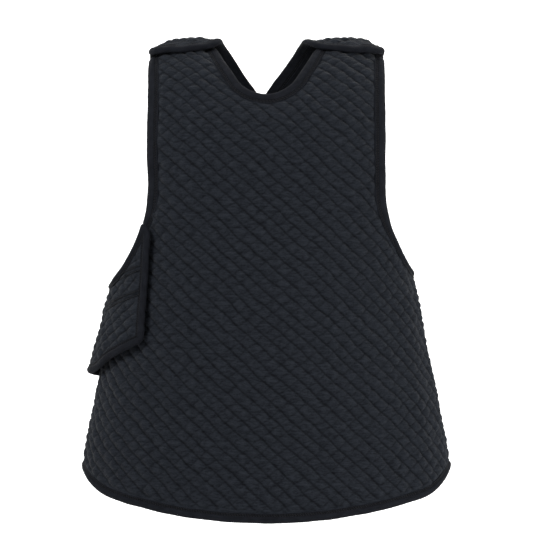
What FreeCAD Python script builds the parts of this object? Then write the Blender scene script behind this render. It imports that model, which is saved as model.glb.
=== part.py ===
"""Quilted wrap-around chest protector: front panel, back panel, side flap and two shoulder tabs.

Frame: +Z up, -Y is the wearer's front, +X is to the right of someone who faces that front.
Heights in the sheet are measured from a level just under the front hem. Every piece is
then placed so that the origin is at the wearer's shoulder line, midway between the arms.
"""

import FreeCAD, Part
import math
import os
import Sketcher

V = FreeCAD.Vector

# Driving dimensions, millimetres and degrees.
DIMENSIONS = {
    # cloth layers, outside to inside
    "shell_thickness": 1.2,
    "wadding_thickness": 4.0,
    "lining_thickness": 0.8,
    "layer_gap": 0.35,
    "binding_cloth": 0.75,
    "binding_width": 10.0,
    "binding_lap": 1.2,
    # the worn shape: half width and half depth at each height of the skirt
    "skirt_end_height": -20.0, "skirt_end_half_width": 227.0, "skirt_end_half_depth": 136.0,
    "hem_height": 60.0, "hem_half_width": 220.0, "hem_half_depth": 130.0,
    "hip_height": 150.0, "hip_half_width": 203.0, "hip_half_depth": 122.0,
    "waist_height": 230.0, "waist_half_width": 187.0, "waist_half_depth": 116.0,
    "underarm_height": 300.0, "underarm_half_width": 173.5, "underarm_half_depth": 111.0,
    # the chest and shoulders are a dome above this height
    "chest_height": 400.0, "chest_half_width": 165.0, "chest_half_depth": 104.0,
    "dome_rise": 166.0, "dome_squareness": 0.27,
    # how far the wrapping back stands outside the front
    "wrap_side": 5.5, "wrap_depth": 10.0, "wrap_rise": 11.0,
    # outlines seen from the front
    "hem_low": 15.0, "hem_radius": 740.0, "hem_corner_x": 180.0,
    "hem_corner_top": 97.5, "hem_side_x": 227.0, "hem_corner_radius": 62.0,
    "armhole_top_x": 141.5, "armhole_mid_x": 138.5,
    "armhole_base_x": 196.0, "armhole_base_height": 275.5,
    "neck_low": 503.0, "neck_radius": 42.0, "neck_flare": 32.0,
    "vee_x": -6.0, "vee_height": 508.0, "vee_rise": 70.0,
    "vee_left_run": 40.5, "vee_right_run": 58.0,
    # edges of the panels that the view from the front hides
    "right_seam_y": 20.0, "front_wrap_y": 70.0, "front_shoulder_y": 32.0,
    "underarm_y": 3.0, "underarm_low": 296.0,
    # side flap
    "flap_edge_x": -138.0, "flap_edge_low": 222.0,
    "flap_tip_x": -209.0, "flap_tip_height": 184.0, "flap_top": 350.0,
    "sweep_x_slope": -0.398, "sweep_y_slope": -0.757,
    # fold lines, where the flap and the tabs bend
    "flap_fold_y": 30.0, "tab_fold_y": 10.0, "fold_gap": 0.6,
    "tab_end_y": -35.0,
    # hook and loop tape
    "tape_thickness": 1.1, "tape_width": 25.0,
    "seam_tape_width": 24.0,
    # the wearer's shoulder line
    "rest_height": 557.7,
}

SKY = 640.0
REACH = 400.0
BELOW = -100.0
SHOULDER_LEVEL = 480.0      # below it the front panel ends at the underarm, above it on the shoulder
# how far an outline's corner moves, across and down or up, for each millimetre of inset
ARMHOLE_CORNER = (0.78, 0.63)
VEE_CORNER = (0.146, 1.745)
HEM_CORNER = 0.243
FLAP_LOW_EDGE = 1.13
SKIRT_LEVELS = ("skirt_end", "hem", "hip", "waist", "underarm")
DOME_ANGLES = (0, 20, 38, 55, 70, 82)

doc = FreeCAD.newDocument("chest_protector")
sheet = doc.addObject("Spreadsheet::Sheet", "dims")
for row, (alias, value) in enumerate(DIMENSIONS.items(), start=1):
    sheet.set(f"A{row}", alias)
    sheet.set(f"B{row}", str(value))
    sheet.setAlias(f"B{row}", alias)
doc.recompute()


# ---------------------------------------------------------------- sums of the sheet's cells

class Size:
    """A sum of the sheet's cells: its value now, and the text that binds a property to it."""

    def __init__(self, value, text):
        self.value = value
        self.text = text

    def __add__(self, other):
        other = sized(other)
        return Size(self.value + other.value, f"({self.text} + {other.text})")

    def __sub__(self, other):
        other = sized(other)
        return Size(self.value - other.value, f"({self.text} - {other.text})")

    def __mul__(self, other):
        other = sized(other)
        return Size(self.value * other.value, f"({self.text} * {other.text})")

    def __truediv__(self, other):
        other = sized(other)
        return Size(self.value / other.value, f"({self.text} / {other.text})")

    def __pow__(self, power):
        power = sized(power)
        return Size(self.value ** power.value, f"({self.text} ^ {power.text})")

    def __neg__(self):
        return self * -1

    def __radd__(self, other):
        return sized(other) + self

    def __rsub__(self, other):
        return sized(other) - self

    def __rmul__(self, other):
        return sized(other) * self


def sized(number):
    """A plain number as a Size."""
    return number if isinstance(number, Size) else Size(float(number), f"({float(number)})")


def sine(degrees):
    degrees = sized(degrees)
    return Size(math.sin(math.radians(degrees.value)), f"sin({degrees.text} * 1 deg)")


def cosine(degrees):
    degrees = sized(degrees)
    return Size(math.cos(math.radians(degrees.value)), f"cos({degrees.text} * 1 deg)")


def root(number):
    return Size(math.sqrt(number.value), f"sqrt({number.text})")


class Cells:
    """The sheet's cells as Sizes, by alias."""

    def __getattr__(self, alias):
        return Size(float(getattr(sheet, alias)), f"dims.{alias}")


dim = Cells()
ZERO = sized(0)


def bind(target, place, value):
    """Bind one property of an object to the sheet."""
    target.setExpression(place, sized(value).text)


# ---------------------------------------------------------------- the worn shape

def ellipse_section(name, height, half_width, half_depth, side):
    """A horizontal ellipse whose sizes are bound to the sheet."""
    ring = doc.addObject("Part::Ellipse", name)
    bind(ring, "MajorRadius", half_width)
    bind(ring, "MinorRadius", half_depth)
    bind(ring, "Placement.Base.z", height)
    bind(ring, "Placement.Base.x", side)
    return ring


def body_form(name, wrapped, inset):
    """The solid inside one cloth surface, inset from the outer quilting.

    The wrapping back stands outside the front. Below the arms its form is also moved to
    the left, so that on the right the two panels meet at the side seam.
    """
    extra = (dim.wrap_side, dim.wrap_depth, dim.wrap_rise) if wrapped else (ZERO, ZERO, ZERO)
    side, depth, rise = extra
    sections = []
    for level in SKIRT_LEVELS:
        height, half_width, half_depth = (getattr(dim, f"{level}_{part}")
                                          for part in ("height", "half_width", "half_depth"))
        sections.append(ellipse_section(f"{name}_{level}", height, half_width + side - inset,
                                        half_depth + depth - inset, -side))
    for angle in DOME_ANGLES:
        sections.append(ellipse_section(
            f"{name}_dome_{angle}",
            dim.chest_height + (dim.dome_rise + rise - inset) * sine(angle),
            (dim.chest_half_width + side + side - inset) * cosine(angle) ** dim.dome_squareness,
            (dim.chest_half_depth + depth - inset) * cosine(angle), ZERO))
    form = doc.addObject("Part::Loft", name)
    form.Sections = sections
    form.Solid = True
    form.Ruled = False
    return form


# insets of the cloth surfaces from the outer face of the quilting
SHELL_IN = dim.shell_thickness
WADDING_OUT = SHELL_IN + dim.layer_gap
WADDING_IN = WADDING_OUT + dim.wadding_thickness
LINING_OUT = WADDING_IN + dim.layer_gap
LINING_IN = LINING_OUT + dim.lining_thickness
CORE_OUT = -dim.layer_gap
CORE_IN = LINING_IN + dim.layer_gap
BINDING_OUT = CORE_OUT - dim.binding_cloth
BINDING_IN = CORE_IN + dim.binding_cloth
LOOP_OUT = CORE_OUT - dim.tape_thickness
HOOK_IN = CORE_IN + dim.tape_thickness
SEAM_TAPE_OUT = CORE_IN + 0.9
SEAM_TAPE_IN = SEAM_TAPE_OUT + dim.binding_cloth

LAYERS = {
    "outer_shell": (ZERO, SHELL_IN),
    "wadding": (WADDING_OUT, WADDING_IN),
    "lining": (LINING_OUT, LINING_IN),
}


def cut(name, base, tool):
    made = doc.addObject("Part::Cut", name)
    made.Base, made.Tool = base, tool
    return made


def common(name, *shapes):
    made = doc.addObject("Part::MultiCommon", name)
    made.Shapes = list(shapes)
    return made


def fuse(name, *shapes):
    made = doc.addObject("Part::MultiFuse", name)
    made.Shapes = list(shapes)
    return made


forms = {}
sleeves = {}


def form_at(wrapped, inset):
    """The form at one inset, made once."""
    key = (wrapped, inset.text)
    if key not in forms:
        owner = "back" if wrapped else "front"
        forms[key] = body_form(f"{owner}_form_{len(forms)}", wrapped, inset)
    return forms[key]


def cloth_sleeve(wrapped, outer, inner):
    """The closed sleeve of cloth between two insets, made once."""
    key = (wrapped, outer.text, inner.text)
    if key not in sleeves:
        sleeves[key] = cut(f"sleeve_{len(sleeves)}", form_at(wrapped, outer), form_at(wrapped, inner))
    return sleeves[key]


# ---------------------------------------------------------------- outlines and cutting blocks

class Outline:
    """A closed sketch seen from the front (X across, Z up), pushed along Y into a block."""

    def __init__(self, name):
        self.name = name
        self.corners = []

    def corner(self, x, z, radius=None, bulge=0):
        """A corner. With a radius the edge after it is an arc that turns left (1) or right (-1)."""
        self.corners.append((sized(x), sized(z), radius, bulge))
        return self

    def block(self):
        sketch = doc.addObject("Sketcher::SketchObject", self.name + "_sketch")
        sketch.Placement = FreeCAD.Placement(V(0, 0, 0), FreeCAD.Rotation(V(1, 0, 0), 90))
        count = len(self.corners)
        places = [V(x.value, z.value, 0) for x, z, _, _ in self.corners]
        for i, (_, _, radius, bulge) in enumerate(self.corners):
            start, end = places[i], places[(i + 1) % count]
            if radius is None:
                sketch.addGeometry(Part.LineSegment(start, end))
            else:
                sketch.addGeometry(arc_between(start, end, radius.value, bulge))
        for i, (x, z, radius, bulge) in enumerate(self.corners):
            following = (i + 1) % count
            first, last = (1, 2) if bulge >= 0 else (2, 1)
            next_first = 1 if self.corners[following][3] >= 0 else 2
            self.constrain(sketch, "Coincident", i, last, following, next_first)
            self.constrain(sketch, "DistanceX", -1, 1, i, first, x)
            self.constrain(sketch, "DistanceY", -1, 1, i, first, z)
            if radius is not None:
                self.constrain(sketch, "Radius", i, radius)
        made = doc.addObject("Part::Extrusion", self.name)
        made.Base = sketch
        made.DirMode = "Custom"
        made.Dir = V(0, 1, 0)
        made.LengthFwd = REACH
        made.LengthRev = REACH
        made.Solid = True
        return made

    @staticmethod
    def constrain(sketch, kind, *parts):
        """One constraint; a Size at the end is bound to the sheet."""
        if isinstance(parts[-1], Size):
            at = sketch.addConstraint(Sketcher.Constraint(kind, *parts[:-1], parts[-1].value))
            bind(sketch, f"Constraints[{at}]", parts[-1])
        else:
            sketch.addConstraint(Sketcher.Constraint(kind, *parts))


def arc_between(start, end, radius, bulge):
    """The short arc from start to end with that radius, its centre on the left for bulge 1."""
    half = (end - start) * 0.5
    rise = math.sqrt(max(radius ** 2 - half.Length ** 2, 0))
    left = V(-half.y, half.x, 0).normalize()
    centre = start + half + left * (rise * bulge)
    ends = (start, end) if bulge > 0 else (end, start)
    turn = [math.atan2(place.y - centre.y, place.x - centre.x) for place in ends]
    return Part.ArcOfCircle(Part.Circle(centre, V(0, 0, 1), radius), turn[0], turn[1])


def block(name, x=(-REACH, REACH), y=(-REACH, REACH), z=(BELOW, SKY)):
    """A cutting box between limits along each axis."""
    box = doc.addObject("Part::Box", name)
    for axis, edge, (low, high) in (("x", "Length", x), ("y", "Width", y), ("z", "Height", z)):
        bind(box, f"Placement.Base.{axis}", low)
        bind(box, edge, sized(high) - low)
    return box


def armhole_block(side, inset, tag):
    """All that lies outside one armhole, enlarged by inset. side is -1 left, 1 right."""
    across = dim.armhole_base_x - dim.armhole_mid_x
    drop = dim.chest_height - dim.armhole_base_height
    radius = (across ** 2 + drop ** 2) / (2 * across)
    base_x = dim.armhole_base_x - inset * ARMHOLE_CORNER[0]
    base_z = dim.armhole_base_height - inset * ARMHOLE_CORNER[1]
    outline = Outline(f"armhole_{tag}")
    outline.corner(side * (dim.armhole_top_x - inset), SKY)
    outline.corner(side * (dim.armhole_mid_x - inset), dim.chest_height, radius + inset, side)
    outline.corner(side * base_x, base_z)
    outline.corner(side * REACH, base_z - 290)
    outline.corner(side * REACH, SKY)
    return outline.block()


def neck_block(inset, tag):
    """The scooped front neckline: a round bottom and two flaring sides."""
    radius = dim.neck_radius + inset
    centre_z = dim.neck_low + dim.neck_radius
    tangent_x = radius * cosine(dim.neck_flare)
    tangent_z = centre_z - radius * sine(dim.neck_flare)
    top_x = tangent_x + (SKY - tangent_z) * sine(dim.neck_flare) / cosine(dim.neck_flare)
    outline = Outline(f"neckline_{tag}")
    outline.corner(-tangent_x, tangent_z, radius, 1)
    outline.corner(0, centre_z - radius, radius, 1)
    outline.corner(tangent_x, tangent_z)
    outline.corner(top_x, SKY)
    outline.corner(-top_x, SKY)
    return outline.block()


def vee_block(inset, tag):
    """The back neckline: two straight edges that meet between the shoulders."""
    low_x = dim.vee_x - inset * VEE_CORNER[0]
    low_z = dim.vee_height - inset * VEE_CORNER[1]
    outline = Outline(f"vee_{tag}")
    outline.corner(low_x, low_z)
    outline.corner(low_x + (SKY - low_z) * dim.vee_right_run / dim.vee_rise, SKY)
    outline.corner(low_x - (SKY - low_z) * dim.vee_left_run / dim.vee_rise, SKY)
    return outline.block()


def hem_block(inset, tag):
    """All that lies above the rounded hem, made smaller by inset."""
    radius = dim.hem_radius - inset
    corner_radius = dim.hem_corner_radius - inset
    corner_x = dim.hem_corner_x - inset * HEM_CORNER
    corner_z = dim.hem_low + dim.hem_radius - root(radius ** 2 - corner_x ** 2)
    side_x = dim.hem_side_x - inset
    side_z = dim.hem_corner_top
    outline = Outline(f"hem_{tag}")
    outline.corner(0, dim.hem_low + inset, radius, 1)
    outline.corner(corner_x, corner_z, corner_radius, 1)
    outline.corner(side_x, side_z)
    outline.corner(REACH, side_z)
    outline.corner(REACH, SKY)
    outline.corner(-REACH, SKY)
    outline.corner(-REACH, side_z)
    outline.corner(-side_x, side_z, corner_radius, 1)
    outline.corner(-corner_x, corner_z, radius, 1)
    return outline.block()


def flap_low_block(inset, tag):
    """All that lies in front and below the straight lower edge of the side flap."""
    run = dim.flap_edge_x - dim.flap_tip_x
    slope = (dim.flap_edge_low - dim.flap_tip_height) / run
    lift = dim.flap_tip_height + inset * FLAP_LOW_EDGE
    outline = Outline(f"flap_low_{tag}")
    outline.corner(-REACH, BELOW)
    outline.corner(REACH, BELOW)
    outline.corner(REACH, lift + slope * (REACH - dim.flap_tip_x))
    outline.corner(-REACH, lift - slope * (REACH + dim.flap_tip_x))
    return cut(f"flap_low_front_{tag}", outline.block(), block(f"behind_{tag}", y=(0, REACH)))


def sweep_block(inset, tag):
    """All that lies behind and below the sloping plane that trims the lower left of the back."""
    normal = V(-dim.sweep_x_slope.value, -dim.sweep_y_slope.value, 1).normalize()
    turn = FreeCAD.Rotation(V(0, 0, 1), normal)
    on_plane = V(dim.flap_tip_x.value, 0, dim.flap_tip_height.value) + normal * inset
    slab = doc.addObject("Part::Box", f"sweep_{tag}")
    slab.Length, slab.Width, slab.Height = 4 * REACH, 4 * REACH, 2 * REACH
    corner = on_plane - turn.multVec(V(2 * REACH, 2 * REACH, 2 * REACH))
    slab.Placement = FreeCAD.Placement(corner, turn)
    return cut(f"sweep_behind_{tag}", slab, block(f"ahead_{tag}", x=(-3 * REACH, 3 * REACH),
                                                  y=(-3 * REACH, 0), z=(-900, 900)))


# ---------------------------------------------------------------- the panels' trimming blocks

def front_block(inset):
    """Trims the front panel, its bound edges pulled in by inset."""
    tag = f"front_{inset}".replace(".", "_")
    underarm = dim.underarm_low
    away = [
        armhole_block(-1, inset, "left_" + tag),
        armhole_block(1, inset, "right_" + tag),
        neck_block(inset, tag),
        block(f"right_back_{tag}", x=(0, REACH), y=(dim.right_seam_y, REACH), z=(BELOW, underarm)),
        block(f"left_back_{tag}", x=(-REACH, 0), y=(dim.front_wrap_y - inset, REACH),
              z=(BELOW, underarm)),
        block(f"upper_back_{tag}", y=(dim.underarm_y, REACH), z=(underarm - inset, SHOULDER_LEVEL)),
        block(f"shoulder_back_{tag}", y=(dim.front_shoulder_y - inset, REACH), z=(SHOULDER_LEVEL, SKY)),
    ]
    return cut(f"trim_{tag}", hem_block(inset, tag), fuse(f"away_{tag}", *away))


def back_block(inset):
    """Trims the back panel. Its seam and its fold lines stay in place."""
    tag = f"back_{inset}".replace(".", "_")
    underarm = dim.underarm_low
    seam = dim.right_seam_y + dim.fold_gap
    flap_fold = dim.flap_fold_y + dim.fold_gap / 2
    away = [
        armhole_block(-1, inset, "left_" + tag),
        armhole_block(1, inset, "right_" + tag),
        vee_block(inset, tag),
        sweep_block(inset, tag),
        block(f"right_front_{tag}", x=(0, REACH), y=(-REACH, seam), z=(BELOW, underarm)),
        block(f"left_front_{tag}", x=(-REACH, 0), y=(-REACH, flap_fold), z=(BELOW, dim.flap_top)),
        block(f"upper_front_{tag}", y=(-REACH, dim.tab_fold_y + dim.fold_gap / 2), z=(underarm, SKY)),
    ]
    return cut(f"trim_{tag}", hem_block(inset, tag), fuse(f"away_{tag}", *away))


def flap_block(inset):
    """Trims the side flap."""
    tag = f"flap_{inset}".replace(".", "_")
    keep = block(f"flap_box_{tag}", x=(-REACH, dim.flap_edge_x - inset),
                 y=(-REACH, dim.flap_fold_y - dim.fold_gap / 2), z=(100, dim.flap_top - inset))
    away = [
        armhole_block(-1, inset, tag),
        flap_low_block(inset, tag),
        sweep_block(inset, tag),
    ]
    return cut(f"trim_{tag}", keep, fuse(f"away_{tag}", *away))


def tab_block(side, inset):
    """Trims one shoulder tab."""
    tag = f"{'left' if side < 0 else 'right'}_tab_{inset}".replace(".", "_")
    across = (-REACH, dim.vee_x) if side < 0 else (dim.vee_x, REACH)
    keep = block(f"tab_box_{tag}", x=across, z=(500, SKY),
                 y=(dim.tab_end_y + inset, dim.tab_fold_y - dim.fold_gap / 2))
    return cut(f"trim_{tag}", keep, fuse(f"away_{tag}", armhole_block(side, inset, tag),
                                         vee_block(inset, tag)))


# ---------------------------------------------------------------- the pieces

pieces = {}


def piece(label, made):
    """Name one finished piece and lower it to the shoulder frame."""
    made.Label = label
    bind(made, "Placement.Base.z", -dim.rest_height)
    pieces[label] = made


def cloth_layers(prefix, wrapped, trim):
    """A panel's three cloth layers; they end just inside the fold of the binding."""
    inside = trim(dim.binding_lap.value)
    for layer, (outer, inner) in LAYERS.items():
        sleeve = cloth_sleeve(wrapped, outer, inner)
        piece(f"{prefix}_{layer}", common(f"{prefix}_{layer}_cloth", sleeve, inside))


def edge_tape(prefix, wrapped, trim):
    """The tape round a panel's bound edges: an outer face, an inner face and the fold."""
    inside_fold = trim(dim.binding_lap.value - dim.layer_gap.value)
    band = cut(f"{prefix}_band", inside_fold, trim(dim.binding_width.value))
    rim = cut(f"{prefix}_rim", trim(0), inside_fold)
    outer_face = common(f"{prefix}_outer_face", cloth_sleeve(wrapped, BINDING_OUT, CORE_OUT), band)
    inner_face = common(f"{prefix}_inner_face", cloth_sleeve(wrapped, CORE_IN, BINDING_IN), band)
    fold = common(f"{prefix}_fold", cloth_sleeve(wrapped, BINDING_OUT, BINDING_IN), rim)
    return fuse(f"{prefix}_tape", outer_face, inner_face, fold)


PANELS = {
    "front": (False, front_block),
    "back": (True, back_block),
    "flap": (True, flap_block),
    "left_tab": (True, lambda inset: tab_block(-1, inset)),
    "right_tab": (True, lambda inset: tab_block(1, inset)),
}
tapes = {}
for prefix, (wrapped, trim) in PANELS.items():
    cloth_layers(prefix, wrapped, trim)
    tapes[prefix] = edge_tape(prefix, wrapped, trim)

# the tape of the two big panels is cut into the lengths that are sewn on one after the other
WRAP_SPLIT = 45.0
HEM_SPLIT = 110.0
BACK_HEM_SPLIT = 175.0
NECK_SPLIT = 88.0
NECK_FOOT = 440.0
AHEAD = (-REACH, WRAP_SPLIT)
LENGTHS = {
    "front_hem_binding": ("front", dict(y=AHEAD, z=(BELOW, HEM_SPLIT))),
    "front_wrap_edge_binding": ("front", dict(x=(-REACH, 0), y=(WRAP_SPLIT, REACH), z=(BELOW, SHOULDER_LEVEL))),
    "front_left_armhole_binding": ("front", dict(x=(-REACH, -NECK_SPLIT), y=AHEAD, z=(HEM_SPLIT, SKY))),
    "front_right_armhole_binding": ("front", dict(x=(NECK_SPLIT, REACH), y=AHEAD, z=(HEM_SPLIT, SKY))),
    "neckline_binding": ("front", dict(x=(-NECK_SPLIT, NECK_SPLIT), z=(NECK_FOOT, SKY))),
    "back_hem_binding": ("back", dict(z=(BELOW, BACK_HEM_SPLIT))),
    "back_left_armhole_binding": ("back", dict(x=(-REACH, -NECK_SPLIT), z=(BACK_HEM_SPLIT, SKY))),
    "back_right_armhole_binding": ("back", dict(x=(NECK_SPLIT, REACH), z=(BACK_HEM_SPLIT, SKY))),
    "back_neck_binding": ("back", dict(x=(-NECK_SPLIT, NECK_SPLIT), z=(NECK_FOOT, SKY))),
}
for label, (prefix, limits) in LENGTHS.items():
    piece(label, common(f"{label}_length", tapes[prefix], block(f"{label}_box", **limits)))
for prefix in ("flap", "left_tab", "right_tab"):
    piece(f"{prefix}_binding", tapes[prefix])

# a tape on the inside covers the right side seam
seam_half = dim.seam_tape_width / 2
piece("side_seam_tape", common(
    "side_seam_strip", cloth_sleeve(False, SEAM_TAPE_OUT, SEAM_TAPE_IN),
    block("side_seam_box", x=(120, REACH), y=(dim.right_seam_y - seam_half, dim.right_seam_y + seam_half),
          z=(dim.hem_corner_top + 42, dim.underarm_low - 20))))

# hook tape inside the flap and the tabs, loop tape on the front panel under each of them
flap_tape_low = dim.flap_edge_low + 28
PATCHES = {
    "flap": dict(x=(dim.flap_edge_x - 40, dim.flap_edge_x - 12), y=(-REACH, 0),
                 z=(flap_tape_low, flap_tape_low + dim.tape_width)),
    "left_tab": dict(x=(-122, -74), y=(dim.tab_end_y + 13, -2), z=(530, SKY)),
    "right_tab": dict(x=(74, 122), y=(dim.tab_end_y + 13, -2), z=(530, SKY)),
}
for prefix, limits in PATCHES.items():
    spot = block(f"{prefix}_patch_box", **limits)
    piece(f"{prefix}_hook_tape", common(
        f"{prefix}_hook_strip", cloth_sleeve(True, CORE_IN, HOOK_IN), spot))
    piece(f"front_{prefix}_loop_tape", common(
        f"{prefix}_loop_strip", cloth_sleeve(False, LOOP_OUT, CORE_OUT), spot))

doc.recompute()

# ---------------------------------------------------------------- checks and files

broken = [item.Name for item in doc.Objects if {"Invalid", "Error"} & set(item.State)]
assert not broken, f"failed features: {broken}"

os.makedirs("parts", exist_ok=True)
for label, made in pieces.items():
    shape = made.Shape
    assert not shape.isNull() and shape.isValid(), f"{label} is not sound"
    assert len(shape.Solids) == 1, f"{label} has {len(shape.Solids)} solids"
    shape.exportStep(f"parts/{label}.step")
    print(f"{label:32s} {shape.Volume / 1000:9.2f} cm3")
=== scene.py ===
"""Quilted chest protector: the look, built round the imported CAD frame."""
import math

import bpy
import numpy as np
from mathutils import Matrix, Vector
from mathutils.kdtree import KDTree


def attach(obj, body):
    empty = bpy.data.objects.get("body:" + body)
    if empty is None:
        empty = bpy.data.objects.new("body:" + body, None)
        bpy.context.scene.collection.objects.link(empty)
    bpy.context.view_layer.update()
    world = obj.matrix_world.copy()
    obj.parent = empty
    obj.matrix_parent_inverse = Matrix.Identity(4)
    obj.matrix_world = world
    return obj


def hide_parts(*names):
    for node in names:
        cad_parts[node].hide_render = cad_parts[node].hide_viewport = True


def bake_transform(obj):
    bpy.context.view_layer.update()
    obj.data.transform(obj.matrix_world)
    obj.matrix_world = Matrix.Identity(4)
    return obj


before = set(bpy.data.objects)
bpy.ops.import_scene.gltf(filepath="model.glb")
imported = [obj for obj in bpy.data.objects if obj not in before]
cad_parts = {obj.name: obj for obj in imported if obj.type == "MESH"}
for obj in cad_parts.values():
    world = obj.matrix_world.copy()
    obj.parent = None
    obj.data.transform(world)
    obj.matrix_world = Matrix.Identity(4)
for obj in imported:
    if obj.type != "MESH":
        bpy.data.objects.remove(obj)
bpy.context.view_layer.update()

# Lengths are in millimetres and heights are above the hem level, unless a comment says otherwise.
MM = 1000  # millimetres in a metre
REST = 557.7  # height of the frame's origin
CHEST = 400.0  # the dome starts at this height
SEAM_Y = 20.0  # depth of the right side seam
SEAM_TOP = 305  # the seam's outlines are left unbound below this V
WRAP_Y = 70.0  # the front panel ends here, under the wrapping flap
FLAP_EDGE = -144.0  # x of the side flap's front edge at its lower corner
FLAP_TOP = 347.0  # height that the flap's slanting upper corner is cut from
FLAP_SPLIT = -190.0  # the flap's piece starts at this U of the back panel
TAB_SPLIT = 590.0  # the shoulder tabs' pieces start at this V
TAB_X = 92  # a tab's middle
TAB_END = -36  # depth of a tab's free end
FLAP_FOLD = (42.0, 18.0)  # the flap bends between these two depths
TAB_FOLD = (22.0, -2.0)  # the tabs bend between these two depths

FAR = 60  # a distance that leaves the choice to the other edges
CUT_OFF = -5  # a distance that drops the cloth
NOT_ZERO = 1e-6
TINY = 1e-9


# -------- small numeric helpers

def smooth(low, high, value):
    """0 at low, 1 at high, and an eased step between them."""
    t = np.clip((value - low) / (high - low), 0, 1)
    return t * t * (3 - 2 * t)


def ripple(u, v, wavelength, seed, count=7):
    """Smooth, repeatable unevenness, mostly between -1 and 1."""
    draw = np.random.RandomState(seed)
    total = np.zeros(np.broadcast(u, v).shape)
    for _ in range(count):
        angle = draw.uniform(0, 2 * math.pi)
        length = wavelength * draw.uniform(0.65, 1.6)
        phase = draw.uniform(0, 2 * math.pi)
        total = total + np.sin((u * math.cos(angle) + v * math.sin(angle)) * 2 * math.pi / length + phase)
    return total / math.sqrt(count)


def spline(places, values):
    """A cubic through the points: natural at the bottom, level at the top."""
    places, values = np.array(places, float), np.array(values, float)
    count = len(places)
    gap = np.diff(places)
    matrix, right = np.zeros((count, count)), np.zeros(count)
    matrix[0, 0] = 1
    for i in range(1, count - 1):
        matrix[i, i - 1:i + 2] = gap[i - 1], 2 * (gap[i - 1] + gap[i]), gap[i]
        right[i] = 6 * ((values[i + 1] - values[i]) / gap[i] - (values[i] - values[i - 1]) / gap[i - 1])
    matrix[-1, -2:] = gap[-1], 2 * gap[-1]
    right[-1] = -6 * (values[-1] - values[-2]) / gap[-1]
    bend = np.linalg.solve(matrix, right)

    def value(x):
        i = np.clip(np.searchsorted(places, x) - 1, 0, count - 2)
        t, w = x - places[i], gap[i]
        slope = (values[i + 1] - values[i]) / w - w * (2 * bend[i] + bend[i + 1]) / 6
        return values[i] + slope * t + bend[i] * t ** 2 / 2 + (bend[i + 1] - bend[i]) * t ** 3 / (6 * w)
    return value


def normalised(vectors):
    return vectors / np.maximum(np.linalg.norm(vectors, axis=-1, keepdims=True), TINY)


def steps(low, high, step):
    """Evenly spaced values from low to high, with high kept where a step lands on it."""
    return np.arange(low, high + 0.1, step)


def run_length(across, up):
    """Length along a line, from its start to each of its points."""
    return np.concatenate([[0], np.cumsum(np.hypot(np.diff(across), np.diff(up)))])


def part_way(at, run, pairs):
    """Pairs of values, given along a line, at these lengths along it."""
    return np.stack([np.interp(at, run, pairs[:, 0]), np.interp(at, run, pairs[:, 1])], 1)


# -------- the worn shape

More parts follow.
